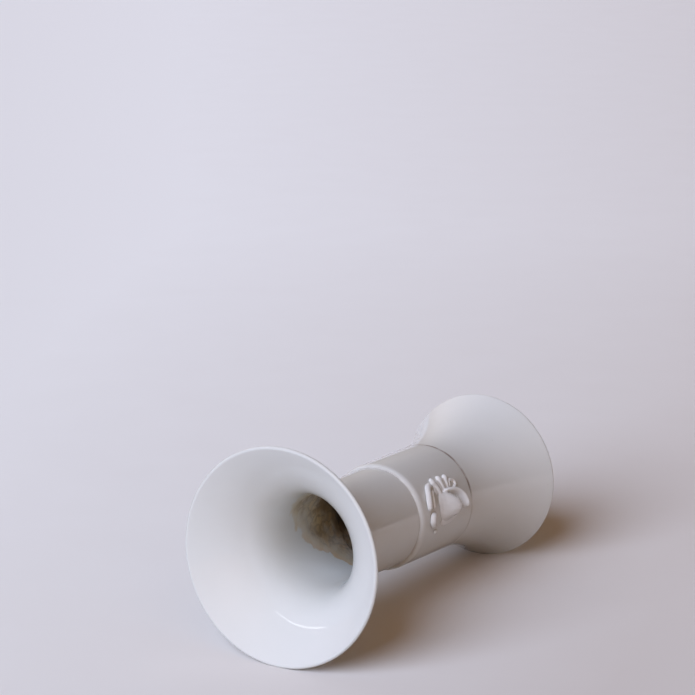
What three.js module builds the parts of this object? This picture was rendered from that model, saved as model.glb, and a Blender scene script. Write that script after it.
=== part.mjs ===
// A tall white porcelain vase, standing on its foot, in millimetres with +Z up.
// Two bell-shaped flares, a wide mouth and a smaller foot, are joined by a straight tube.
// The potter makes it in sections that are joined with slip while the clay is leather hard:
// the neck with the mouth, the waist, and the foot with the vessel's floor.
// The slim neck steps out to the waist over a rounded shoulder, a fine groove marks the joint
// with the foot, and a moulded ornament of scrolls and lobes round a shield is laid on the waist.
// The origin is the centre of the foot, on the ground. The ornament faces -Y.

import * as THREE from 'three';

// Driving sizes of the body
const height = 240;
const wall = 2.7;
const mouthRadius = 64;
const neckRadius = 30.3;
const waistRadius = 32.5;
const waistBaseRadius = 33.2;
const footRadius = 52.2;

// Neck and mouth
const mouthFlareHeight = 66;
const mouthFlarePower = 3.7;

// Rounded shoulder where the neck steps out to the waist
const shoulderHeight = 133.2;
const shoulderDrop = 3.8;

// Foot, its groove, its floor and the ring that it stands on
const footHeight = 73.8;
const footFlarePower = 1.9;
const grooveRadius = 0.6;
const footRingWidth = 4.5;
const footRingRound = 0.8;
const recessDepth = 4;
const floorThickness = 3.6;
const floorFillet = 5;

// Ornament: the slip that holds it, its width, its distance from the shoulder and the groove,
// and how far its shield stands out
const slipFilm = 0.1;
const ornamentWidth = 32.4;
const ornamentTopMargin = 3.4;
const ornamentFootMargin = 5.6;
const ornamentRelief = 4;

// Fineness of the facets
const roundSegments = 60;
const flareSteps = 10;
const filletSteps = 4;
const edgeStop = Math.PI / 6;

// Where the neck is joined to the waist, and the bore of each section
const neckJointHeight = shoulderHeight - shoulderDrop;
const neckBore = neckRadius - wall;
const waistBore = waistRadius - wall;
const waistBaseBore = waistBaseRadius - wall;

const porcelain = new THREE.MeshStandardMaterial({ color: 0xe6e6e3, roughness: 0.12, metalness: 0 });
porcelain.name = 'white_glazed_porcelain';
const sprigClay = new THREE.MeshStandardMaterial({ color: 0xe9e8e6, roughness: 0.1, metalness: 0 });
sprigClay.name = 'white_glazed_sprig';

const vase = new THREE.Group();

function addPiece(name, geometry, material) {
  const piece = new THREE.Mesh(geometry, material);
  piece.name = name;
  vase.add(piece);
}

// A profile of points (radius, height), turned about the vase's upright axis.
// It runs anticlockwise, up the outside and down the inside, so that the faces point out.
function turned(profile) {
  const geometry = new THREE.LatheGeometry(profile, roundSegments);
  geometry.rotateX(Math.PI / 2);
  return geometry;
}

// Points on a rounded edge: both ends, and every stop between them,
// so that the furthest points of the edge are exact. The edge may be taller than it is wide.
function roundedEdge(centre, radius, from, to, rise = radius) {
  const turns = [from];
  const nearest = edgeStop / 10;
  for (let stop = Math.ceil((from + nearest) / edgeStop); stop * edgeStop < to - nearest; stop += 1) {
    turns.push(stop * edgeStop);
  }
  turns.push(to);
  return turns.map((turn) => new THREE.Vector2(
    centre.x + radius * Math.cos(turn),
    centre.y + rise * Math.sin(turn),
  ));
}

// A flare's wall: its middle surface leaves the tube straight and curls out by a power of the
// way along it. Each step gives the points of both faces, half a wall to either side,
// and the direction of the outer face's normal.
function flareWall(start, end, power) {
  const rise = end.y - start.y;
  const spread = end.x - start.x;
  const steps = [];
  for (let step = 0; step <= flareSteps; step += 1) {
    const share = step / flareSteps;
    const middle = new THREE.Vector2(start.x + spread * share ** power, start.y + rise * share);
    const slope = spread * power * share ** (power - 1) / Math.abs(rise);
    const normal = new THREE.Vector2(1, -slope * Math.sign(rise)).normalize();
    steps.push({
      outer: middle.clone().addScaledVector(normal, wall / 2),
      inner: middle.clone().addScaledVector(normal, -wall / 2),
      middle,
      normal,
    });
  }
  return steps;
}

// Neck: the rounded shoulder over the joint, a straight tube that opens into the mouth,
// and a rounded lip. Inside, the wall turns round the shoulder's corner at its own thickness.
function neckProfile() {
  const shoulder = new THREE.Vector2(neckRadius, neckJointHeight);
  const corner = new THREE.Vector2(neckRadius, shoulderHeight);
  const lipCentre = new THREE.Vector2(mouthRadius - wall / 2, height - wall / 2);
  const flareStart = new THREE.Vector2(neckRadius - wall / 2, lipCentre.y - mouthFlareHeight);
  const steps = flareWall(flareStart, lipCentre, mouthFlarePower);
  const lip = steps[flareSteps];
  const lipTurn = Math.atan2(lip.normal.y, lip.normal.x);
  const innerTurn = Math.PI + Math.acos((neckRadius - waistBore) / wall);
  return [
    new THREE.Vector2(waistBore, neckJointHeight),
    ...roundedEdge(shoulder, waistRadius - neckRadius, 0, Math.PI / 2, shoulderDrop),
    ...steps.slice(0, flareSteps).map((step) => step.outer),
    ...roundedEdge(lip.middle, wall / 2, lipTurn, lipTurn + Math.PI),
    ...steps.slice(0, flareSteps).reverse().map((step) => step.inner),
    ...roundedEdge(corner, wall, Math.PI, innerTurn),
    new THREE.Vector2(waistBore, neckJointHeight),
  ];
}

// Waist: the tube between the joints, which widens a little towards the foot.
// Its lower edge is rounded to make half of the groove.
function waistProfile() {
  const groove = new THREE.Vector2(waistBaseRadius - grooveRadius, footHeight + grooveRadius);
  return [
    new THREE.Vector2(waistBaseBore, footHeight),
    ...roundedEdge(groove, grooveRadius, -Math.PI / 2, 0),
    new THREE.Vector2(waistRadius, neckJointHeight),
    new THREE.Vector2(waistBore, neckJointHeight),
    new THREE.Vector2(waistBaseBore, footHeight),
  ];
}

// Foot: the vessel's floor over a shallow recess, the flat ring that the vase stands on,
// the flare, the other half of the groove, and the chamber inside
function footProfile() {
  const edge = new THREE.Vector2(footRadius - wall / 2, wall / 2);
  const flareStart = new THREE.Vector2(waistBaseRadius - wall / 2, footHeight - grooveRadius);
  const steps = flareWall(flareStart, edge, footFlarePower);
  const edgeNormal = steps[flareSteps].normal;
  const groove = new THREE.Vector2(waistBaseRadius - grooveRadius, footHeight - grooveRadius);
  const ringInside = edge.x - footRingWidth;
  const ringRound = new THREE.Vector2(ringInside + footRingRound, footRingRound);
  const ceilingRound = new THREE.Vector2(ringInside - footRingRound, recessDepth - footRingRound);
  const floorTop = recessDepth + floorThickness;

  // The chamber's wall ends above the floor in a fillet that reaches further along the floor
  const chamber = steps.filter((step) => step.inner.y > floorTop + floorFillet);
  const lowest = chamber[chamber.length - 1];
  const lean = lowest.normal.y / lowest.normal.x;
  const corner = new THREE.Vector2(lowest.inner.x + (lowest.inner.y - floorTop) * lean, floorTop);
  const fillet = new THREE.QuadraticBezierCurve(
    lowest.inner,
    corner,
    new THREE.Vector2(corner.x - floorFillet * 2, floorTop),
  );
  return [
    new THREE.Vector2(0, recessDepth),
    ...roundedEdge(ceilingRound, footRingRound, 0, Math.PI / 2).reverse(),
    ...roundedEdge(ringRound, footRingRound, Math.PI, Math.PI * 1.5),
    ...roundedEdge(edge, wall / 2, -Math.PI / 2, Math.atan2(edgeNormal.y, edgeNormal.x)),
    ...steps.slice(1, flareSteps).reverse().map((step) => step.outer),
    ...roundedEdge(groove, grooveRadius, 0, Math.PI / 2),
    new THREE.Vector2(waistBaseBore, footHeight),
    ...chamber.map((step) => step.inner),
    ...fillet.getPoints(filletSteps).slice(1),
    new THREE.Vector2(0, floorTop),
  ];
}

addPiece('neck_trumpet', turned(neckProfile()), porcelain);
addPiece('waist_tube', turned(waistProfile()), porcelain);
addPiece('foot_flare', turned(footProfile()), porcelain);

// The ornament is drawn flat on squared paper, as seen from outside, with the paper's middle at 0.
// A point (x, z) is so many squares to the right and up. The paper is stretched to the ornament's
// width and to the room between the shoulder and the groove, and bent round the waist.
const paper = { columns: 32, rows: 46 };
const ornamentBottom = footHeight + ornamentFootMargin;
const ornamentTop = neckJointHeight - ornamentTopMargin;

function onWaist(x, z, lift) {
  const turn = x * ornamentWidth / paper.columns / waistRadius;
  const up = (ornamentBottom + ornamentTop) / 2 + z * (ornamentTop - ornamentBottom) / paper.rows;
  const wayUp = (up - footHeight) / (neckJointHeight - footHeight);
  const radius = waistBaseRadius + (waistRadius - waistBaseRadius) * wayUp + slipFilm + lift;
  return [radius * Math.sin(turn), -radius * Math.cos(turn), up];
}

// A ridge along a line of the drawing: half-round across, closed by a back that fits the tube.
// Its half width and its relief run from a value at the start to one at the end, and both its
// ends are rounded off: a fullness of 2 makes an oval, and more makes a bar with blunt ends.
function ridge({
  line,
  startHalf,
  endHalf,
  fullness,
  relief,
  endRelief = relief,
  steps,
  domeSides = 6,
  backSides = 2,
}) {
  const ringSize = domeSides + backSides;
  const positions = [];
  const faces = [];
  for (let step = 1; step < steps; step += 1) {
    const along = (1 - Math.cos(Math.PI * step / steps)) / 2;
    const rounding = Math.sqrt(1 - Math.abs(2 * along - 1) ** fullness);
    const half = (startHalf + (endHalf - startHalf) * along) * rounding;
    const rise = (relief + (endRelief - relief) * along) * rounding * ornamentRelief;
    const centre = line.getPointAt(along);
    const tangent = line.getTangentAt(along);
    for (let side = 0; side < ringSize; side += 1) {
      const onDome = side <= domeSides;
      const turn = Math.PI * side / domeSides;
      const across = onDome ? Math.cos(turn) : -1 + 2 * (side - domeSides) / backSides;
      const lift = onDome ? Math.sin(turn) * rise : 0;
      positions.push(...onWaist(
        centre.x - tangent.y * across * half,
        centre.y + tangent.x * across * half,
        lift,
      ));
    }
  }
  const startTip = line.getPointAt(0);
  const endTip = line.getPointAt(1);
  const startIndex = positions.length / 3;
  positions.push(...onWaist(startTip.x, startTip.y, 0), ...onWaist(endTip.x, endTip.y, 0));
  const rings = steps - 1;
  for (let side = 0; side < ringSize; side += 1) {
    const next = (side + 1) % ringSize;
    for (let ring = 0; ring < rings - 1; ring += 1) {
      const here = ring * ringSize;
      const there = here + ringSize;
      faces.push(here + side, here + next, there + side);
      faces.push(there + side, here + next, there + next);
    }
    const last = (rings - 1) * ringSize;
    faces.push(startIndex, next, side);
    faces.push(startIndex + 1, last + side, last + next);
  }
  const geometry = new THREE.BufferGeometry();
  geometry.setAttribute('position', new THREE.Float32BufferAttribute(positions, 3));
  geometry.setIndex(faces);
  geometry.computeVertexNormals();
  return geometry;
}

function throughPoints(...points) {
  return new THREE.SplineCurve(points.map(([x, z]) => new THREE.Vector2(x, z)));
}

// The shield in the middle: a full boss, thin at its upper edge and highest towards its blunt foot
addPiece('relief_boss', ridge({
  line: throughPoints([-4, -12.4], [-1.9, -1], [-1.8, 11.6]),
  startHalf: 6.8,
  endHalf: 9.2,
  fullness: 2.8,
  relief: 1.4,
  endRelief: 0.25,
  steps: 16,
  domeSides: 10,
  backSides: 8,
}), sprigClay);

// The long scroll that runs down the shield's right side and under its point
addPiece('relief_scroll_long', ridge({
  line: throughPoints([8.4, 1.8], [7.4, -5], [5.2, -11.4], [1.8, -15.9], [-2.6, -18.6], [-7.4, -18.8]),
  startHalf: 1.2,
  endHalf: 1.8,
  fullness: 6,
  relief: 0.78,
  steps: 18,
}), sprigClay);

// The two scrolls that meet over the shield: a thick one on the right, a short leaf on the left,
// and a fine rib between them and the shield
addPiece('relief_scroll_top', ridge({
  line: throughPoints([13, 12.6], [11.8, 16], [8.2, 18.8], [4, 20.8], [-0.8, 21.8]),
  startHalf: 2,
  endHalf: 1.8,
  fullness: 5,
  relief: 0.78,
  steps: 14,
}), sprigClay);

addPiece('relief_rib', ridge({
  line: throughPoints([9.6, 12.2], [6.4, 14.4], [2.6, 15.8], [-0.4, 16.2]),
  startHalf: 0.9,
  endHalf: 1,
  fullness: 5,
  relief: 0.35,
  steps: 12,
}), sprigClay);

addPiece('relief_leaf', ridge({
  line: throughPoints([-10.8, 17], [-8, 20.6], [-5, 20], [-3.6, 15.2]),
  startHalf: 1.4,
  endHalf: 2,
  fullness: 3,
  relief: 0.65,
  steps: 12,
}), sprigClay);

// The open curl at the foot of the fringe
const curl = { x: 9.8, z: -13.2, acrossRadius: 2.5, alongRadius: 3.1, gap: Math.PI * 0.2 };
addPiece('relief_volute', ridge({
  line: new THREE.EllipseCurve(
    curl.x,
    curl.z,
    curl.acrossRadius,
    curl.alongRadius,
    curl.gap - Math.PI,
    Math.PI - curl.gap,
  ),
  startHalf: 0.8,
  endHalf: 1,
  fullness: 6,
  relief: 0.4,
  steps: 16,
}), sprigClay);

// The shell fringe on the right: lobes that fan out from the shield, fat at their outer ends
const lobes = [
  { from: [7.6, 6.6], to: [16.4, 8.6] },
  { from: [10.6, 0.9], to: [16.7, 0.7] },
  { from: [10.2, -4.5], to: [16, -6.9] },
];
lobes.forEach(({ from, to }, index) => {
  addPiece(`relief_lobe_${index + 1}`, ridge({
    line: new THREE.LineCurve(new THREE.Vector2(...from), new THREE.Vector2(...to)),
    startHalf: 0.5,
    endHalf: 2.9,
    fullness: 2.6,
    relief: 0.5,
    steps: 9,
  }), sprigClay);
});

// The slender scroll down the shield's left side, and the pearl above it
addPiece('relief_scroll_left', ridge({
  line: throughPoints([-12, 9.4], [-13, 3.4], [-12.6, -3.4], [-10.8, -9.6], [-8.4, -14.4]),
  startHalf: 0.8,
  endHalf: 1,
  fullness: 5,
  relief: 0.22,
  steps: 14,
}), sprigClay);

addPiece('relief_pearl', ridge({
  line: new THREE.LineCurve(new THREE.Vector2(-14.8, 13.2), new THREE.Vector2(-14.8, 16.6)),
  startHalf: 1.6,
  endHalf: 1.6,
  fullness: 2,
  relief: 0.3,
  steps: 8,
}), sprigClay);

export default vase;
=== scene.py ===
# %% [markdown]
# # A white porcelain vase that lies on its side
#
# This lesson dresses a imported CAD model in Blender. The object is a tall porcelain vase: a bell
# mouth and a smaller, spreading foot, joined by a straight tube that carries a moulded ornament.
# The model stands upright in its own frame, in metres, with +Z up and the ornament facing -Y.
# The photograph shows the vase lying on a table. The vase itself is never moved here, so the
# camera, the table and the lamps are worked out round a lying vase, and are then stood up with it.

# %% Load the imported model
from collections import Counter
from math import acos, asin, atan2, ceil, cos, degrees, pi, radians, sin, sqrt, tau

import bpy
from mathutils import Matrix, Vector


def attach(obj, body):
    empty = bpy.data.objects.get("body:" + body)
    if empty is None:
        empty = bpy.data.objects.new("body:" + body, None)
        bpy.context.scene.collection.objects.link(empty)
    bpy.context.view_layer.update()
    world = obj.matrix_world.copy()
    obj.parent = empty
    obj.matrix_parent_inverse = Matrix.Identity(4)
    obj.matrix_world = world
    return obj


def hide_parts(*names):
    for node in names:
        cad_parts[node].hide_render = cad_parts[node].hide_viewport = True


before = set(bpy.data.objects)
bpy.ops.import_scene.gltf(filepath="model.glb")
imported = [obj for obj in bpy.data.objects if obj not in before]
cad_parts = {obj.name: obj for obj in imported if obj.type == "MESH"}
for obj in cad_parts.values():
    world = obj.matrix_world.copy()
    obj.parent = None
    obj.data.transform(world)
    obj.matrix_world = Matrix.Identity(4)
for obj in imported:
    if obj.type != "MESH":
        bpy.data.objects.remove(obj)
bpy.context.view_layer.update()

print("CAD nodes:", len(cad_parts))

# %% [markdown]
# ## Real sizes
#
# The sizes of the body are those of the CAD model, written in millimetres and turned into metres
# once. The two rims have a fixed distance and radius, and they decide how the vase lies: it
# touches the table at one point of each rim, so its axis tips down a little towards the foot.

# %% Sizes of the body
MM = 0.001
height = 240 * MM
wall = 2.7 * MM
mouth_radius = 64 * MM
neck_radius = 30.3 * MM
waist_radius = 32.5 * MM
waist_base_radius = 33.2 * MM
foot_radius = 52.2 * MM
mouth_flare_height = 66 * MM
mouth_flare_power = 3.7
shoulder_height = 133.2 * MM
shoulder_drop = 3.8 * MM
shoulder_round = 0.7 * MM
foot_height = 73.8 * MM
foot_flare_power = 1.9
groove_radius = 0.6 * MM
foot_ring_width = 4.5 * MM
ring_round = 0.8 * MM
recess_depth = 4 * MM
floor_thickness = 3.6 * MM
floor_fillet = 5 * MM

neck_joint_height = shoulder_height - shoulder_drop
waist_bore = waist_radius - wall
waist_base_bore = waist_base_radius - wall
print("neck joint at", round(neck_joint_height / MM, 1), "mm")
print("foot joint at", round(foot_height / MM, 1), "mm")

# %% [markdown]
# ## How the vase lies
#
# Four things were read from the photograph with a camera fitted to both rims, the shoulder and
# the groove: where the mouth touches the table, which way the axis points, how far the vase is
# rolled about it, and the camera's height and pitch. The rest follows from the rims. The table is
# the plane z = 0 of a lying frame, with the camera above its origin, looking along its +Y.

# %% From the lying frame to the upright one
rim_distance = height - wall
mouth_contact = Vector((-39.71, 1310.4, 0)) * MM
heading = radians(58.64)
roll = radians(-105)
tip = asin((mouth_radius - foot_radius) / rim_distance)

axis_down = Vector((cos(tip) * cos(heading), cos(tip) * sin(heading), -sin(tip)))
to_table = Vector((-sin(tip) * cos(heading), -sin(tip) * sin(heading), -cos(tip)))
sideways = axis_down.cross(to_table)
mouth_middle = mouth_contact - to_table * mouth_radius


def round_the_axis(turn):
    """A direction square to the lying axis, turned so far from the one that points at the table."""
    return to_table * cos(turn) + sideways * sin(turn)


lying_axes = Matrix((round_the_axis(roll - pi / 2), -round_the_axis(roll), -axis_down))
mouth_plane = Vector((0, 0, height - wall / 2))


def stood_up(point):
    """A point of the lying frame, in the upright frame of the model."""
    return lying_axes @ (Vector(point) - mouth_middle) + mouth_plane


def stood_up_matrix(location, rotation):
    """The placement of a lamp or camera, given in the lying frame."""
    return Matrix.Translation(stood_up(location)) @ (lying_axes @ rotation).to_4x4()


print("tip of the axis:", round(degrees(tip), 2), "degrees")
print("table's normal, upright:", [round(v, 3) for v in lying_axes @ Vector((0, 0, 1))])

# %% [markdown]
# ## The camera
#
# An 85 mm portrait lens on a square 24 mm sensor gives the photograph's angle of view. The camera
# stands half a metre above the table and looks down by about 14 degrees.

# %% Camera
camera_height = 507.1 * MM
camera_pitch = radians(13.76)
camera_data = bpy.data.cameras.new("portrait_camera")
camera_data.lens = 85
camera_data.sensor_width = 24
camera_data.clip_start = 0.02
camera_data.clip_end = 30
camera = bpy.data.objects.new("portrait_camera", camera_data)
bpy.context.scene.collection.objects.link(camera)
camera.matrix_world = stood_up_matrix(
    (0, 0, camera_height), Matrix.Rotation(pi / 2 - camera_pitch, 3, "X")
)
bpy.context.scene.camera = camera
print("camera at", [round(v, 3) for v in camera.matrix_world.translation])

# %% [markdown]
# ## Helpers for modelling
#
# Everything on this vase was turned on a wheel or pressed in a mould. Both start from a line:
# the profile that the potter's template cuts, or the middle of a scroll. So one helper draws a
# line in edit mode, as by hand: a tiny plane is merged to one point, which is moved to the start
# of the line and then extruded from point to point.


# %% Draw a line, finish a piece
def deselect_all():
    if bpy.context.object and bpy.context.object.mode != "OBJECT":
        bpy.ops.object.mode_set(mode="OBJECT")
    bpy.ops.object.select_all(action="DESELECT")


def draw_line(name, points):
    """An edge line through the points, left in edit mode with its last point selected."""
    deselect_all()
    bpy.ops.mesh.primitive_plane_add(size=MM)
    piece = bpy.context.object
    piece.name = name
    piece.data.name = name
    bpy.ops.object.mode_set(mode="EDIT")
    bpy.ops.mesh.merge(type="CENTER")
    bpy.ops.transform.translate(value=points[0])
    for here, there in zip(points, points[1:]):
        bpy.ops.mesh.extrude_region_move(TRANSFORM_OT_translate={"value": there - here})
    return piece


def piece_report(piece):
    mesh = piece.data
    low = [min(v.co[i] for v in mesh.vertices) / MM for i in range(3)]
    high = [max(v.co[i] for v in mesh.vertices) / MM for i in range(3)]
    triangles = sum(len(face.vertices) - 2 for face in mesh.polygons)
    sides = Counter(edge for face in mesh.polygons for edge in face.edge_keys)
    unclosed = sum(count != 2 for count in sides.values())
    print(f"{piece.name}: {triangles} triangles, {unclosed} open edges")
    print("  mm from", [round(v, 2) for v in low], "to", [round(v, 2) for v in high])


# %% [markdown]
# ## Turned pieces
#
# The potter turns the vase in three sections and joins them with slip. A section is its profile,
# spun once round the upright axis. A profile is a closed line: up the outside, over the edge and
# down the inside, so the wall has its true thickness everywhere.
#
# A flare could be drawn by eye, but the CAD model has a rule for it: the middle of the wall
# leaves the tube straight and curls out by a power of the way along. The same rule with more
# steps gives the smooth glazed curve that the facets of the CAD model stand for.

# %% Lines of a profile
TURNED_STEPS = 144
FLARE_STEPS = 44
EDGE_STOP = pi / 18
CREASE_SEGMENTS = 5
FILLET_STEPS = 8
SMOOTH_UNDER = radians(35)


def at(radius, up):
    return Vector((radius, 0, up))


def rounded_edge(centre, radius, start, end, rise=None):
    """Points on a rounded edge: both ends and every stop between them."""
    rise = rise or radius
    turns = [start]
    stop = ceil((start + EDGE_STOP / 10) / EDGE_STOP)
    while stop * EDGE_STOP < end - EDGE_STOP / 10:
        turns.append(stop * EDGE_STOP)
        stop += 1
    turns.append(end)
    return [centre + at(radius * cos(turn), rise * sin(turn)) for turn in turns]


def flare_wall(start, end, power):
    """The middle of a flare's wall at each step, with the direction of the outer face."""
    rise = end.z - start.z
    spread = end.x - start.x
    steps = []
    for share in [step / FLARE_STEPS for step in range(FLARE_STEPS + 1)]:
        middle = at(start.x + spread * share ** power, start.z + rise * share)
        slope = spread * power * share ** (power - 1) / abs(rise)
        steps.append((middle, at(1, -slope if rise > 0 else slope).normalized()))
    return steps


def turn_on_wheel(name, profile, crease=None, crease_round=0):
    """The profile spun once round the upright axis, and closed. A crease is rounded before that."""
    piece = draw_line(name, profile)
    if crease:
        bpy.ops.object.mode_set(mode="OBJECT")
        for vertex in piece.data.vertices:
            vertex.select = (vertex.co - crease).length < 0.01 * MM
        bpy.ops.object.mode_set(mode="EDIT")
        bpy.ops.mesh.bevel(affect="VERTICES", offset=crease_round, segments=CREASE_SEGMENTS)
    bpy.ops.mesh.select_all(action="SELECT")
    bpy.ops.mesh.spin(steps=TURNED_STEPS, angle=tau, center=(0, 0, 0), axis=(0, 0, 1))
    bpy.ops.mesh.select_all(action="SELECT")
    bpy.ops.mesh.remove_doubles(threshold=0.002 * MM)
    bpy.ops.mesh.normals_make_consistent(inside=False)
    bpy.ops.object.mode_set(mode="OBJECT")
    bpy.ops.object.shade_smooth_by_angle(angle=SMOOTH_UNDER)
    piece_report(piece)
    return piece


# %% [markdown]
# ### Neck and mouth
#
# The neck is a straight tube that opens into the bell. Its lip is rounded by the sponge and the
# glaze, a full half circle of the wall's thickness. At its lower end the wall turns out over a
# rounded shoulder to meet the wider waist, and the inside follows it at the same thickness.

# %% Neck with the mouth
lip_middle = at(mouth_radius - wall / 2, height - wall / 2)
mouth_flare = flare_wall(
    at(neck_radius - wall / 2, lip_middle.z - mouth_flare_height),
    lip_middle,
    mouth_flare_power,
)
lip_normal = mouth_flare[-1][1]
lip_turn = atan2(lip_normal.z, lip_normal.x)
neck_profile = [
    at(waist_bore, neck_joint_height),
    *rounded_edge(
        at(neck_radius, neck_joint_height), waist_radius - neck_radius, 0, pi / 2, shoulder_drop
    ),
    *[middle + normal * wall / 2 for middle, normal in mouth_flare[:-1]],
    *rounded_edge(lip_middle, wall / 2, lip_turn, lip_turn + pi),
    *[middle - normal * wall / 2 for middle, normal in mouth_flare[-2::-1]],
    *rounded_edge(
        at(neck_radius, shoulder_height), wall, pi, pi + acos((neck_radius - waist_bore) / wall)
    ),
    at(waist_bore, neck_joint_height),
]
neck = turn_on_wheel(
    "neck_with_mouth", neck_profile, at(neck_radius, shoulder_height), shoulder_round
)
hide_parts("neck_trumpet")
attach(neck, "root")

# %% [markdown]
# ### Waist
#
# The waist widens a little towards the foot. Its lower edge is rounded, which makes the upper
# half of the fine groove at the joint.

# %% Waist
waist_groove = at(waist_base_radius - groove_radius, foot_height + groove_radius)
waist_profile = [
    at(waist_base_bore, foot_height),
    *rounded_edge(waist_groove, groove_radius, -pi / 2, 0),
    at(waist_radius, neck_joint_height),
    at(waist_bore, neck_joint_height),
    at(waist_base_bore, foot_height),
]
waist = turn_on_wheel("waist", waist_profile)
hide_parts("waist_tube")
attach(waist, "root")

# %% [markdown]
# ### Foot
#
# The foot is the lower bell with the floor of the vase inside it. The underside is turned out to
# a shallow recess, so that the vase stands on a narrow flat ring.

# %% Foot
foot_edge = at(foot_radius - wall / 2, wall / 2)
foot_flare = flare_wall(
    at(waist_base_radius - wall / 2, foot_height - groove_radius), foot_edge, foot_flare_power
)
foot_normal = foot_flare[-1][1]
ring_inside = foot_edge.x - foot_ring_width
floor_top = recess_depth + floor_thickness
chamber = [
    (middle - normal * wall / 2, normal)
    for middle, normal in foot_flare
    if (middle - normal * wall / 2).z > floor_top + floor_fillet
]
lowest, lowest_normal = chamber[-1]
corner = at(lowest.x + (lowest.z - floor_top) * lowest_normal.z / lowest_normal.x, floor_top)
fillet_end = corner - at(floor_fillet * 2, 0)
fillet = [
    lowest.lerp(corner, share).lerp(corner.lerp(fillet_end, share), share)
    for share in [step / FILLET_STEPS for step in range(1, FILLET_STEPS + 1)]
]
foot_profile = [
    at(0, recess_depth),
    *rounded_edge(
        at(ring_inside - ring_round, recess_depth - ring_round), ring_round, 0, pi / 2
    )[::-1],
    *rounded_edge(at(ring_inside + ring_round, ring_round), ring_round, pi, pi * 1.5),
    *rounded_edge(foot_edge, wall / 2, -pi / 2, atan2(foot_normal.z, foot_normal.x)),
    *[middle + normal * wall / 2 for middle, normal in foot_flare[-2:0:-1]],
    *rounded_edge(
        at(waist_base_radius - groove_radius, foot_height - groove_radius), groove_radius, 0, pi / 2
    ),
    at(waist_base_bore, foot_height),
    *[inner for inner, _ in chamber],
    *fillet,
    at(0, floor_top),
]
foot = turn_on_wheel("foot_with_floor", foot_profile)
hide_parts("foot_flare")
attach(foot, "root")

# %% [markdown]
# ## The moulded ornament
#
# The ornament is a sprig: soft clay pressed flat in a plaster mould, then laid on the tube with
# slip. It could be carved on the tube itself, but the potter's own order is easier: it is modelled
# flat, and bent round the tube at the end.
#
# Every form of it is a soft ridge: a line with a width that swells and thins. A line is drawn
# through a few points, turned into a curve, given its width at each point, and made a mesh again.
# The round rod is then pressed to its own height, and its lower half is pressed nearly flat.

# %% Squared paper and the ridges on it
ornament_width = 32.4 * MM
ornament_bottom = foot_height + 5.6 * MM
ornament_top = neck_joint_height - 3.4 * MM
ornament_relief = 4 * MM
squares_across, squares_up = 32, 46
across_square = ornament_width / squares_across
up_square = (ornament_top - ornament_bottom) / squares_up
ornament_sink = 0.3 * MM
RIDGE_STEPS = 10
RIDGE_ROUNDNESS = 5


def on_paper(x, z):
    return Vector((x * across_square, z * up_square, 0))


def press_ridge(name, stations, relief, swell=0):
    """A soft ridge through stations (x, z, half width), in squares of the paper.

    A swell raises its lower end and lowers its upper end, more and more towards the ends.
    """
    piece = draw_line(name, [on_paper(x, z) for x, z, _ in stations])
    bpy.ops.object.mode_set(mode="OBJECT")
    bpy.ops.object.convert(target="CURVE")
    curve = piece.data
    curve.dimensions = "3D"
    bpy.ops.object.mode_set(mode="EDIT")
    bpy.ops.curve.select_all(action="SELECT")
    bpy.ops.curve.spline_type_set(type="BEZIER")
    bpy.ops.curve.handle_type_set(type="AUTOMATIC")
    bpy.ops.object.mode_set(mode="OBJECT")
    points = curve.splines[0].bezier_points
    start = on_paper(*stations[0][:2])
    ordered = stations if (points[0].co - start).length < 0.01 * MM else stations[::-1]
    widest = max(half for _, _, half in stations)
    for point, (_, _, half) in zip(points, ordered):
        point.radius = half / widest
    curve.splines[0].resolution_u = RIDGE_STEPS
    curve.bevel_depth = widest * across_square
    curve.bevel_resolution = RIDGE_ROUNDNESS
    curve.fill_mode = "FULL"
    curve.use_fill_caps = True
    bpy.ops.object.convert(target="MESH")
    bpy.ops.object.mode_set(mode="EDIT")
    bpy.ops.mesh.select_all(action="SELECT")
    bpy.ops.mesh.remove_doubles(threshold=0.01 * MM)
    press = relief * ornament_relief / (widest * across_square)
    bpy.ops.transform.resize(value=(1, 1, press), center_override=(0, 0, 0))
    bpy.ops.object.mode_set(mode="OBJECT")
    for _ in range(2 if swell else 0):
        taper = piece.modifiers.new("swell", "SIMPLE_DEFORM")
        taper.deform_method = "TAPER"
        taper.deform_axis = "Y"
        taper.lock_x = True
        taper.factor = -swell
        bpy.ops.object.modifier_apply(modifier=taper.name)
    for vertex in piece.data.vertices:
        vertex.select = vertex.co.z < -0.01 * MM
    for edge in piece.data.edges:
        edge.select = False
    for face in piece.data.polygons:
        face.select = False
    bpy.ops.object.mode_set(mode="EDIT")
    bpy.ops.mesh.select_mode(type="VERT")
    sink = ornament_sink / (relief * ornament_relief)
    bpy.ops.transform.resize(value=(1, 1, sink), center_override=(0, 0, 0))
    bpy.ops.object.mode_set(mode="OBJECT")
    piece_report(piece)
    return piece


print("a square in mm:", round(across_square / MM, 2), "by", round(up_square / MM, 2))

# %% [markdown]
# The forms were read from the photograph on that paper, with its middle at 0, 0. Each has its
# height as a share of the relief, its swell, and its stations from one end to the other.
#
# The boss is a wedge that rises towards the foot. The light comes over the tube from the mouth's
# side, so only a steep face turned towards it is as bright as the boss is in the photograph. The
# boss_foot is the soft step round it, and the fan is the thin plate under the three lobes.

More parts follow.
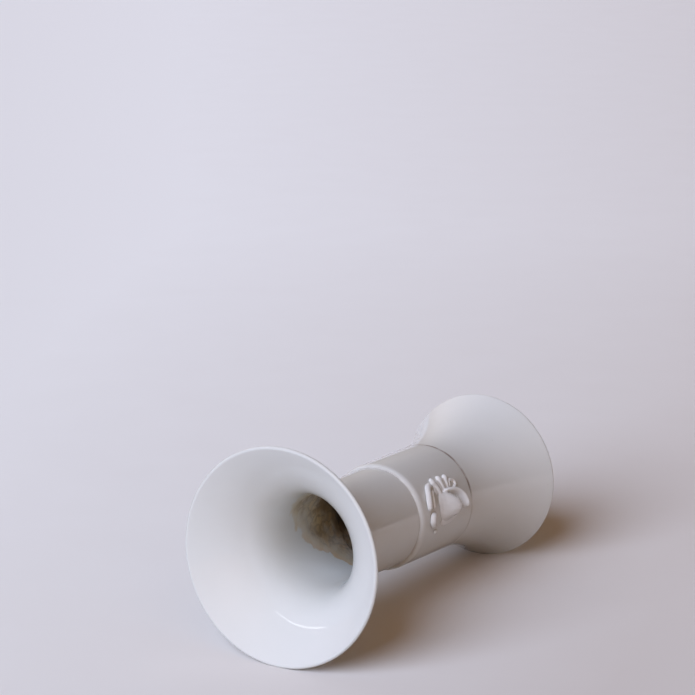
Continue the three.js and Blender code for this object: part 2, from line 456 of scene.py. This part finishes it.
# %% The forms of the sprig
forms = {
    "boss": (1.35, 1.2, [
        (-4.4, -7.4, 1.8), (-4.2, -6.6, 4.4), (-3.7, -5, 5.8), (-3, -2.6, 6.9), (-2.2, 0.4, 7.9),
        (-1.4, 3.4, 8.4), (-0.9, 6, 8), (-0.8, 8.2, 6.4), (-0.8, 9.6, 2.4),
    ]),
    "boss_foot": (0.7, 1.2, [
        (-5, -7.2, 1.8), (-4.9, -6.2, 4.4), (-4.5, -4.6, 5.9), (-3.8, -2.2, 7.1), (-3, 0.8, 8.2),
        (-2.1, 3.8, 8.6), (-1.5, 6.2, 8.2), (-1.2, 8.4, 6.4), (-1, 9.6, 2.4),
    ]),
    "scroll_long": (1.65, 0, [
        (6.6, 2.4, 0.6), (6.8, 0.4, 1.1), (6.3, -4.4, 1.6), (4.2, -10, 2),
        (0.7, -13.6, 2.2), (-3.2, -15.5, 2.2), (-5, -15.8, 2), (-6.4, -15.6, 1),
    ]),
    "scroll_top": (0.6, 0, [
        (13.2, 12.2, 0.8), (13, 13.6, 2), (11.4, 16.8, 2.2), (8, 19, 2.3),
        (4, 20.9, 2.3), (0.4, 21.8, 2), (-1, 21.9, 0.8),
    ]),
    "rib": (0.35, 0, [
        (9.8, 12, 0.4), (9, 12.8, 1), (6.4, 14.4, 1.1),
        (3, 15.7, 1.2), (0.2, 16.2, 1.1), (-0.8, 16.3, 0.4),
    ]),
    "leaf": (0.68, 0, [
        (-10.9, 17.4, 0.6), (-9.9, 18.9, 1.9), (-7.4, 20.1, 2.3),
        (-4.9, 19.2, 2.2), (-3.8, 17, 1.6), (-3.4, 15, 0.6),
    ]),
    "volute": (0.42, 0, [
        (7.9, -7.6, 0.6), (8.8, -7.4, 1), (10.8, -8.4, 1.2), (11.8, -11, 1.2),
        (10.7, -13.6, 1.3), (8.4, -14, 1.2), (7.2, -12, 1.1), (7.5, -10.8, 0.5),
    ]),
    "fan": (0.2, 0, [
        (7.4, 10, 1.4), (9.2, 7.2, 3.4), (10.4, 1.4, 4.6),
        (10, -4.6, 4.4), (8.8, -8.8, 2.8), (7.8, -10.6, 0.8),
    ]),
    "lobe_1": (0.5, 0, [
        (5.6, 5, 1.2), (8.8, 5.8, 1.8), (11.8, 6.8, 1.9),
        (14, 7.9, 2.5), (15.8, 8.6, 2), (16.7, 9, 0.7),
    ]),
    "lobe_2": (0.5, 0, [
        (6.6, -0.2, 1.2), (9.8, 0, 1.8), (12.4, 0, 1.9),
        (14.4, 0, 2.4), (16.1, 0, 2), (17, 0, 0.7),
    ]),
    "lobe_3": (0.5, 0, [
        (7.2, -4.4, 1.1), (9.8, -5.2, 1.7), (12, -6, 1.8),
        (13.8, -6.8, 2.3), (15.3, -7.5, 1.9), (16.1, -7.8, 0.6),
    ]),
    "scroll_left": (0.08, 0, [
        (-10.6, 9.8, 0.8), (-11, 8, 1.8), (-11.6, 3.4, 2.2), (-11.2, -3.4, 2.2),
        (-9.6, -9.6, 2.2), (-7.9, -13.4, 1.8), (-7.3, -14.4, 0.7),
    ]),
    "pearl": (0.3, 0, [
        (-14.8, 13, 0.4), (-14.8, 13.8, 1.4), (-14.8, 14.9, 1.6),
        (-14.8, 16, 1.4), (-14.8, 16.8, 0.4),
    ]),
}
pressed = [
    press_ridge("sprig_" + name, stations, relief, swell)
    for name, (relief, swell, stations) in forms.items()
]
print("forms of the sprig:", len(pressed))

# %% [markdown]
# The forms are joined, and voxel remeshing melts them into one skin, as the clay of the sprig is
# one. A few rounds of smoothing then leave the soft hollows that a thick glaze fills.

# %% One soft sprig
clay_grain = 0.3 * MM
smoothing_rounds = 12
deselect_all()
for piece in pressed:
    piece.select_set(True)
bpy.context.view_layer.objects.active = pressed[0]
bpy.ops.object.join()
sprig = bpy.context.object
sprig.name = sprig.data.name = "rocaille_sprig"
sprig.data.remesh_voxel_size = clay_grain
bpy.ops.object.voxel_remesh()
soften = sprig.modifiers.new("glaze_softened", "SMOOTH")
soften.factor = 0.5
soften.iterations = smoothing_rounds
bpy.ops.object.modifier_apply(modifier=soften.name)
piece_report(sprig)

# %% [markdown]
# The flat sprig is stood on edge, with its face to -Y. It leans a little, because the waist
# widens towards the foot. Then the Simple Deform modifier bends it about the upright axis: an
# angle of its width divided by the tube's radius leaves its back lying on the tube.

# %% Lay the sprig on the tube
ornament_height = (ornament_bottom + ornament_top) / 2
waist_length = neck_joint_height - foot_height
waist_spread = (waist_base_radius - waist_radius) / waist_length
radius_there = waist_base_radius - waist_spread * (ornament_height - foot_height)
bpy.ops.object.mode_set(mode="EDIT")
bpy.ops.mesh.select_all(action="SELECT")
bpy.ops.transform.rotate(value=-pi / 2 - waist_spread, orient_axis="X", center_override=(0, 0, 0))
bpy.ops.object.mode_set(mode="OBJECT")
left = min(v.co.x for v in sprig.data.vertices)
right = max(v.co.x for v in sprig.data.vertices)
bend = sprig.modifiers.new("round_the_waist", "SIMPLE_DEFORM")
bend.deform_method = "BEND"
bend.deform_axis = "Z"
bend.angle = (right - left) / radius_there
bpy.ops.object.modifier_apply(modifier=bend.name)
bpy.ops.object.mode_set(mode="EDIT")
bpy.ops.mesh.select_all(action="SELECT")
bpy.ops.transform.translate(value=(0, -radius_there, ornament_height))
bpy.ops.object.mode_set(mode="OBJECT")
bpy.ops.object.shade_smooth()
radii = [sqrt(v.co.x ** 2 + v.co.y ** 2) / MM for v in sprig.data.vertices]
print("sprig radii in mm:", round(min(radii), 2), "to", round(max(radii), 2))
piece_report(sprig)
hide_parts(*[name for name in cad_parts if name.startswith("relief_")])
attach(sprig, "root")

# %% [markdown]
# ## Materials
#
# A colour is written as its sRGB hex value, which one function turns linear. One helper adds a
# node with its settings and its links, and is enough for every material here.


# %% Colours and nodes
def linear(hex_colour):
    """The linear RGBA of an sRGB hex colour."""
    channels = [int(hex_colour[i : i + 2], 16) / 255 for i in (1, 3, 5)]
    return (*[c / 12.92 if c <= 0.04045 else ((c + 0.055) / 1.055) ** 2.4 for c in channels], 1)


def add_node(tree, kind, settings=None, links=None):
    """A node with its settings, by property or input, and the sockets that feed its inputs."""
    node = tree.nodes.new(kind)
    for key, value in (settings or {}).items():
        if key == "stops":
            ramp = node.color_ramp.elements
            while len(ramp) < len(value):
                ramp.new(0.5)
            for element, (position, colour) in zip(ramp, value):
                element.position = position
                element.color = colour
        elif isinstance(key, str) and hasattr(node, key):
            setattr(node, key, value)
        else:
            node.inputs[key].default_value = value
    for key, socket in (links or {}).items():
        tree.links.new(socket, node.inputs[key])
    return node


def new_material(name):
    material = bpy.data.materials.new(name)
    material.use_nodes = True
    material.node_tree.nodes.clear()
    return material, material.node_tree


# %% [markdown]
# ### Steps that return in every material
#
# Clay, glaze and water never leave an even colour. A finish is built from a few small steps: a
# mix of two colours, cloudy noise, a change of range, two values put together, and the distance
# from a line on the vase. They could be wired by hand, but a function has a name that says what
# it does. Each gives back the socket that holds its result.


# %% Small steps with nodes
def blend(tree, share, below, above):
    """A colour between two others. Each is a hex value or a socket."""
    settings, links = {"data_type": "RGBA"}, {}
    for key, value in ((0, share), (6, below), (7, above)):
        if isinstance(value, str):
            settings[key] = linear(value)
        else:
            links[key] = value
    return add_node(tree, "ShaderNodeMix", settings, links).outputs[2]


def noise(tree, place, size, detail=2.0):
    """Cloudy noise whose cells are about this size."""
    settings = {"Scale": 1 / size, "Detail": detail}
    return add_node(tree, "ShaderNodeTexNoise", settings, {"Vector": place}).outputs[0]


def remap(tree, value, low, high, to_low=0.0, to_high=1.0):
    settings = {"From Min": low, "From Max": high, "To Min": to_low, "To Max": to_high}
    return add_node(tree, "ShaderNodeMapRange", settings, {"Value": value}).outputs[0]


def combine(tree, operation, first, second):
    """Two values, each a number or a socket, put together."""
    settings = {i: v for i, v in ((0, first), (1, second)) if isinstance(v, (int, float))}
    links = {i: v for i, v in ((0, first), (1, second)) if not isinstance(v, (int, float))}
    return add_node(tree, "ShaderNodeMath", {"operation": operation, **settings}, links).outputs[0]


def distance_along(tree, place, direction):
    """How far a place lies along a direction."""
    settings = {"operation": "DOT_PRODUCT", 1: direction}
    return add_node(tree, "ShaderNodeVectorMath", settings, {0: place}).outputs["Value"]


def near_height(tree, up, height, reach):
    """1 at a height of the vase, fading to 0 this far above and below it."""
    distance = combine(tree, "ABSOLUTE", combine(tree, "SUBTRACT", up, height), 0.0)
    return remap(tree, distance, 0.0, reach, 1.0, 0.0)


# %% [markdown]
# ### Clear glaze over white porcelain
#
# Hard porcelain is fired white, under a clear glaze that melts to glass. The eye sees a milky
# body that is a touch green where light bounces in it, sharp reflections that waver because the
# glaze is never quite level, and a rare dark speck of iron. The glaze's waves are 9 mm long and
# some hundredths of a millimetre high, and its fine skin is under 1 mm long. The groove is painted
# a darker brown, mostly on one side of the vase, and the crease of the shoulder is darkened with a
# little painted shade. An image could carry them, but both follow a height of the vase, so two
# lines of nodes put them in place.


# %% Glazed porcelain
wave_length, wave_height = 9 * MM, 0.06 * MM
skin_length, skin_height = 0.8 * MM, 0.002 * MM
cloud_size = 38 * MM
speck_spacing, speck_share = 14 * MM, 0.011
groove_reach, crease_shade_reach = 1.5 * MM, 0.9 * MM


def glaze(tree, cool_white="#E8EAE6", warm_white="#EEEFEC"):
    """The parts that all glazed surfaces share: place, colour, roughness and waviness."""
    place = add_node(tree, "ShaderNodeTexCoord").outputs["Object"]
    axes = add_node(tree, "ShaderNodeSeparateXYZ", {}, {0: place}).outputs
    cloud = noise(tree, place, cloud_size, 3.0)
    body = blend(tree, cloud, cool_white, warm_white)
    grains = add_node(tree, "ShaderNodeTexVoronoi", {"Scale": 1 / speck_spacing}, {"Vector": place})
    speck = combine(tree, "LESS_THAN", grains.outputs["Distance"], speck_share)
    body = blend(tree, speck, body, "#8F8578")
    patches = remap(tree, noise(tree, place, 9 * MM, 3.0), 0.3, 0.55, 0.25, 1.0)
    # A darker brown is painted along the groove, stronger on one side of the vase.
    darker_side = remap(tree, axes["X"], -5 * MM, 5 * MM, 0.15, 1.0)
    darker_side = combine(tree, "MULTIPLY", darker_side, patches)
    groove = near_height(tree, axes["Z"], foot_height, groove_reach)
    groove = combine(tree, "MULTIPLY", groove, darker_side)
    body = blend(tree, remap(tree, groove, 0.0, 0.8, 0.0, 0.85), body, "#715848")
    # Painted shade: the crease of the shoulder is darkened in patches.
    crease = near_height(tree, axes["Z"], shoulder_height + 0.2 * MM, crease_shade_reach)
    crease = combine(tree, "MULTIPLY", crease, combine(tree, "MULTIPLY", patches, 0.4))
    body = blend(tree, crease, body, "#8C7B6C")
    rough = remap(tree, cloud, 0.3, 0.7, 0.035, 0.08)
    waves = noise(tree, place, wave_length, 1.5)
    wavy = add_node(
        tree, "ShaderNodeBump", {"Strength": 1.0, "Distance": wave_height}, {"Height": waves}
    )
    skin = noise(tree, place, skin_length, 1.0)
    wavy = add_node(
        tree,
        "ShaderNodeBump",
        {"Strength": 1.0, "Distance": skin_height},
        {"Height": skin, "Normal": wavy.outputs[0]},
    )
    return place, body, rough, wavy.outputs[0]


def surface(tree, colour, rough, normal, ior=1.58):
    shader = add_node(
        tree,
        "ShaderNodeBsdfPrincipled",
        {"IOR": ior},
        {"Base Color": colour, "Roughness": rough, "Normal": normal},
    )
    add_node(tree, "ShaderNodeOutputMaterial", {}, {"Surface": shader.outputs[0]})


glazed, tree = new_material("clear_glaze_over_white_porcelain")
place, colour, rough, normal = glaze(tree)
surface(tree, colour, rough, normal)
print(glazed.name, "has", len(tree.nodes), "nodes")

# %% [markdown]
# ### The sprig
#
# The sprig's glaze is painted a little whiter than the body's, as painted light on the ornament.
# The hollows between its scrolls are darkened as painted shade. They could be painted on an image,
# but ambient occlusion finds them by itself.

# %% Glazed sprig
hollow_shade_reach = 1.4 * MM
glazed_sprig, tree = new_material("sprig_glaze_painted_lighter_with_hollow_shade")
# Painted light: the sprig's two glaze colours are whiter than the body's.
place, colour, rough, normal = glaze(tree, "#F4F5F3", "#F8F8F6")
# Painted shade: ambient occlusion darkens the hollows between the scrolls.
hollow_shade = add_node(tree, "ShaderNodeAmbientOcclusion", {"Distance": hollow_shade_reach}).outputs["AO"]
hollow_shade = remap(tree, hollow_shade, 0.1, 0.85, 1.0, 0.0)
surface(tree, blend(tree, combine(tree, "MULTIPLY", hollow_shade, 0.4), colour, "#A09A95"), rough, normal)
print(glazed_sprig.name, "has", len(tree.nodes), "nodes")

# %% [markdown]
# ### Water stain
#
# The vase has stood with water in it, and leaned. The water has dried in the neck and left a tide
# mark in a tilted plane. Its edge is ragged and a little streaked across the tube, because the
# last water ran when the vase was laid down. A painted picture could carry such a stain, but here
# it is a function of the depth under that plane, so that it goes on without a seam from the inner
# faces of the neck to those of the waist.

# %% Depth under the tide mark
tide_height, tide_tilt = 174 * MM, 0.78
tide_raggedness, tide_retreat = 9 * MM, 6 * MM
stain_depth = 45 * MM
stained, tree = new_material("water_stained_glaze")
place, colour, rough, normal = glaze(tree)
to_tide = distance_along(tree, place, (tide_tilt, 0, -1))
depth = combine(tree, "ADD", to_tide, tide_height)
streaking = {"operation": "MULTIPLY", 1: (0.8, 0.8, 1.5)}
flowing = add_node(tree, "ShaderNodeVectorMath", streaking, {0: place}).outputs[0]
ragged = combine(tree, "ADD", noise(tree, place, 13 * MM, 1.0), noise(tree, flowing, 6 * MM, 4.0))
ragged = remap(tree, ragged, 0.5, 1.5, -tide_raggedness, tide_raggedness)
depth = combine(tree, "ADD", depth, ragged)
to_lowest = distance_along(tree, place, lying_axes @ to_table)
retreat = remap(tree, to_lowest, 4 * MM, 20 * MM, 0.0, -tide_retreat)
depth = combine(tree, "ADD", depth, retreat)
share = remap(tree, depth, 0.0, stain_depth)
tide_ends = [tide_height + side * tide_tilt * (neck_radius - wall) for side in (-1, 1)]
print("tide mark between", [round(up / MM, 1) for up in tide_ends], "mm over the foot")

# %% [markdown]
# Under the tide mark lies a yellowish deposit that turns to dark brown further down. Pale silt has
# settled on the lowest side, thin dark lines show where the water dried in steps, and brown
# clouds lie on the upper side. The ochre edge along the tide mark is strongest near the table.
# Each is a mask and a colour, laid over the ones before, so it can be changed by itself.


# %% What the water left
def strengths(tree, share, *stops):
    """A grey ramp: pairs of a position and a value."""
    grey = [(position, (value, value, value, 1)) for position, value in stops]
    return add_node(tree, "ShaderNodeValToRGB", {"stops": grey}, {0: share}).outputs[0]


deposit = add_node(
    tree,
    "ShaderNodeValToRGB",
    {
        "stops": [
            (0.0, linear("#D8CA9E")),
            (0.12, linear("#D6C392")),
            (0.3, linear("#D8C193")),
            (0.5, linear("#D6BC8F")),
            (0.7, linear("#BFA47A")),
            (1.0, linear("#6E5C48")),
        ]
    },
    {0: share},
).outputs[0]
silt = remap(tree, to_lowest, 8 * MM, 26 * MM, 0.0, 0.6)
silt_depth = strengths(tree, share, (0.15, 0.0), (0.4, 1.0), (0.85, 1.0), (1.0, 0.0))
silt = combine(tree, "MULTIPLY", silt, silt_depth)
deposit = blend(tree, silt, deposit, "#E2C6AE")
rings = combine(tree, "SUBTRACT", noise(tree, place, 9 * MM, 2.0), 0.5)
rings = remap(tree, combine(tree, "ABSOLUTE", rings, 0.0), 0.0, 0.06, 0.5, 0.0)
ring_depth = strengths(tree, share, (0.2, 0.0), (0.4, 1.0), (0.8, 0.8), (0.95, 0.0))
rings = combine(tree, "MULTIPLY", rings, ring_depth)
deposit = blend(tree, rings, deposit, "#5E472E")
clouds = remap(tree, noise(tree, place, 13 * MM, 3.0), 0.42, 0.6, 0.0, 0.75)
clouds = combine(tree, "MULTIPLY", clouds, remap(tree, to_lowest, 4 * MM, 18 * MM, 1.0, 0.2))
cloud_depth = strengths(tree, share, (0.12, 0.0), (0.35, 1.0), (0.8, 1.0), (1.0, 0.0))
clouds = combine(tree, "MULTIPLY", clouds, cloud_depth)
deposit = blend(tree, clouds, deposit, "#8E7450")
ochre = remap(tree, to_lowest, -4 * MM, 14 * MM, 0.15, 0.8)
ochre_depth = strengths(tree, share, (0.0, 0.0), (0.03, 0.9), (0.12, 0.8), (0.3, 0.0))
ochre = combine(tree, "MULTIPLY", ochre, ochre_depth)
deposit = blend(tree, ochre, deposit, "#DCAF6C")

# %% [markdown]
# The deposit hides the glaze more and more with depth. It is a thin blotched film near the tide
# mark and closed further down, and it makes the surface rougher where it lies.

# %% Stained glaze
film = strengths(tree, share, (0.0, 0.0), (0.06, 0.45), (0.22, 0.7), (0.42, 0.95), (0.6, 1.0))
blotches = remap(tree, noise(tree, place, 8 * MM, 3.0), 0.36, 0.6, 0.62, 1.0)
film = combine(tree, "MULTIPLY", combine(tree, "MAXIMUM", film, ochre), blotches)
film = combine(tree, "MAXIMUM", film, strengths(tree, share, (0.45, 0.0), (0.8, 1.0)))
rough = combine(tree, "ADD", rough, combine(tree, "MULTIPLY", film, 0.3))
surface(tree, blend(tree, film, colour, deposit), rough, normal)
print(stained.name, "has", len(tree.nodes), "nodes")

# %% [markdown]
# ### Bare foot ring
#
# The ring that stood on the kiln shelf is wiped clean of glaze: bare fired porcelain, faintly
# warm, with a fine grit.

# %% Bare porcelain
grit_size, grit_height = 0.4 * MM, 0.05 * MM
bare, tree = new_material("bare_porcelain_foot_ring")
place = add_node(tree, "ShaderNodeTexCoord").outputs["Object"]
grit = noise(tree, place, grit_size, 3.0)
colour = blend(tree, noise(tree, place, 7 * MM, 4.0), "#C9C0B2", "#DDD6CA")
gritty = add_node(
    tree, "ShaderNodeBump", {"Strength": 1.0, "Distance": grit_height}, {"Height": grit}
)
surface(tree, colour, remap(tree, grit, 0.3, 0.7, 0.7, 0.9), gritty.outputs[0])
print(bare.name, "has", len(tree.nodes), "nodes")


# %% [markdown]
# Each section takes the plain glaze first. The faces of its bore that look at the axis, and the
# flat ring under the foot, are then picked out and given their own material.

# %% Give the materials
bore_top = 200 * MM
ring_top = 0.2 * MM


def give(piece, *materials):
    piece.data.materials.clear()
    for material in materials:
        piece.data.materials.append(material)


def in_bore(face):
    out = Vector((face.center.x, face.center.y, 0)).normalized()
    return face.normal.dot(out) < 0 and face.center.z < bore_top


give(sprig, glazed_sprig)
give(foot, glazed, stained, bare)
give(neck, glazed, stained)
give(waist, glazed, stained)
for piece in (neck, waist, foot):
    for face in piece.data.polygons:
        if in_bore(face) and face.center.z > recess_depth + 0.1 * MM:
            face.material_index = 1
for face in foot.data.polygons:
    if face.normal.z < -0.9 and face.center.z < ring_top:
        face.material_index = 2
for piece in (neck, waist, foot):
    counts = Counter(face.material_index for face in piece.data.polygons)
    print(piece.name, "faces of each material:", dict(counts))

# %% [markdown]
# ## The table
#
# The vase lies on a sheet of pale paper that runs far back, so the camera sees nothing else. The
# sheet is a plane of the lying frame. Behind it the camera may look through it: the back of its
# faces shows nothing, so that views from below still see the vase. The paper's colour is painted
# greyer to the right and close to the camera, and paler to the left and far back: painted light
# and shade, paler on the side of the window.

# %% Paper sheet
paper_width, paper_length, paper_middle = 6, 9, 3.4
deselect_all()
bpy.ops.mesh.primitive_plane_add(size=1)
paper = bpy.context.object
paper.name = paper.data.name = "paper_table"
paper.data.transform(Matrix.Diagonal((paper_width, paper_length, 1, 1)))
paper.data.transform(Matrix.Translation((0, paper_middle, 0)))
paper.matrix_world = stood_up_matrix((0, 0, 0), Matrix.Identity(3))

sheet, tree = new_material("matt_paper_with_painted_light")
place = add_node(tree, "ShaderNodeTexCoord").outputs["Object"]
floor_axes = add_node(tree, "ShaderNodeSeparateXYZ", {}, {0: place}).outputs
# Painted light and shade: the paper is paler to the left and far back, greyer to the right and near
# the camera.
paler_leftward = combine(tree, "DIVIDE", floor_axes["X"], floor_axes["Y"])
paler_leftward = combine(tree, "MULTIPLY", paler_leftward, -3.0)
share = combine(tree, "ADD", paler_leftward, remap(tree, floor_axes["Y"], 0.9, 2.6, 0.23, 0.8))
mottling = remap(tree, noise(tree, place, 60 * MM, 5.0), 0.0, 1.0, -0.04, 0.04)
share = combine(tree, "ADD", share, mottling)
colour = blend(tree, remap(tree, share, 0.0, 1.0), "#CCC5BF", "#EDEDEB")
matt = add_node(tree, "ShaderNodeBsdfDiffuse", {"Roughness": 1.0}, {"Color": colour})
see_through = add_node(tree, "ShaderNodeBsdfTransparent")
back = add_node(tree, "ShaderNodeNewGeometry").outputs["Backfacing"]
camera_ray = add_node(tree, "ShaderNodeLightPath").outputs["Is Camera Ray"]
from_behind = combine(tree, "MULTIPLY", back, camera_ray)
sides = add_node(
    tree, "ShaderNodeMixShader", {}, {0: from_behind, 1: matt.outputs[0], 2: see_through.outputs[0]}
)
add_node(tree, "ShaderNodeOutputMaterial", {}, {"Surface": sides.outputs[0]})
paper.data.materials.append(sheet)
print("paper in m:", paper_width, "by", paper_length)

# %% [markdown]
# ## Light
#
# The photograph tells where the light comes from. The mouth is the brightest part, and the shadow
# falls to the right and away, so the main window is behind the camera on its left: cool daylight,
# as wide as two hands at arm's length. Its mirror image is left out of the glaze, because the
# photograph shows none. A thin bright arc low inside the mouth is read as the glaze's image of a
# narrow opening at the left, which reaches from just over the table to high behind the camera. So
# that lamp is seen in the glaze only, and lights nothing.


# %% Lamps
lamp_distance = 1.6
vase_middle = Vector((0.02, 1.38, 0.04))


def toward(azimuth, elevation):
    """A direction of the lying frame: azimuth 0 is away from the camera and 90 to its right."""
    a, e = radians(azimuth), radians(elevation)
    return Vector((sin(a) * cos(e), cos(a) * cos(e), sin(e)))


def add_lamp(name, kind, colour, energy, direction, along, **settings):
    """A lamp that shines on the vase from a direction, with its long side along another one."""
    lamp_data = bpy.data.lights.new(name, kind)
    lamp_data.color = linear(colour)[:3]
    lamp_data.energy = energy
    for key, value in settings.items():
        setattr(lamp_data, key, value)
    lamp = bpy.data.objects.new(name, lamp_data)
    bpy.context.scene.collection.objects.link(lamp)
    side = along.cross(direction).normalized()
    axes = Matrix((side, direction.cross(side), direction)).transposed()
    lamp.matrix_world = stood_up_matrix(vase_middle + direction * lamp_distance, axes)
    return lamp


window_strength, window_angle = 2.9, radians(42)
window = add_lamp(
    "main_window",
    "SUN",
    "#D4E3FF",
    window_strength,
    toward(-147, 32),
    Vector((0, 0, 1)),
    angle=window_angle,
)
window.visible_glossy = False
opening_power, opening_width, opening_length = 1.5, 0.05, 2.47
arc_low, arc_high = toward(-63, 8), toward(-130, 72)
opening = add_lamp(
    "narrow_opening",
    "AREA",
    "#F4F6FF",
    opening_power,
    (arc_low + arc_high).normalized(),
    arc_high - arc_low,
    shape="RECTANGLE",
    size=opening_width,
    size_y=opening_length,
)
opening.visible_diffuse = False
for lamp in (window, opening):
    print(lamp.name, "at", [round(v, 3) for v in lamp.matrix_world.translation])

# %% [markdown]
# The rest of the room is soft. Each of its parts is a lobe: brightest in one direction, and falling
# off by a power of the cosine. Two pale glows stand behind the vase, a little to the left, and a
# warm one behind the camera. Where the paper ends, the camera itself sees a plain pale grey.

# %% The room as far as the vase sees it
# Each glow: azimuth, elevation, narrowness, strength, colour
glows = (
    (-50, 15, 4, 0.5, "#FFE0D6"),
    (-20, 20, 5, 0.6, "#FFF8F5"),
    (180, 30, 3, 0.6, "#FFC788"),
)
world = bpy.data.worlds.new("quiet_room")
bpy.context.scene.world = world
world.use_nodes = True
tree = world.node_tree
tree.nodes.clear()
direction = add_node(tree, "ShaderNodeTexCoord").outputs["Generated"]
glow = None
for azimuth, elevation, narrowness, strength, colour in glows:
    facing = distance_along(tree, direction, lying_axes @ toward(azimuth, elevation))
    lobe = combine(tree, "POWER", combine(tree, "MAXIMUM", facing, 0.0), narrowness)
    lobe = combine(tree, "MULTIPLY", lobe, strength)
    tint = {"operation": "SCALE", 0: linear(colour)[:3]}
    tinted = add_node(tree, "ShaderNodeVectorMath", tint, {"Scale": lobe}).outputs[0]
    if glow:
        both = {0: glow, 1: tinted}
        tinted = add_node(tree, "ShaderNodeVectorMath", {"operation": "ADD"}, both).outputs[0]
    glow = tinted
room = add_node(tree, "ShaderNodeBackground", {"Strength": 1.0}, {"Color": glow})
seen = add_node(tree, "ShaderNodeBackground", {"Color": linear("#D8D6DE"), "Strength": 1.0})
camera_ray = add_node(tree, "ShaderNodeLightPath").outputs["Is Camera Ray"]
sky = add_node(
    tree, "ShaderNodeMixShader", {}, {0: camera_ray, 1: room.outputs[0], 2: seen.outputs[0]}
)
add_node(tree, "ShaderNodeOutputWorld", {}, {"Surface": sky.outputs[0]})
bpy.context.scene.view_settings.view_transform = "Standard"
print("glows in the room:", len(glows), "in", len(tree.nodes), "nodes")
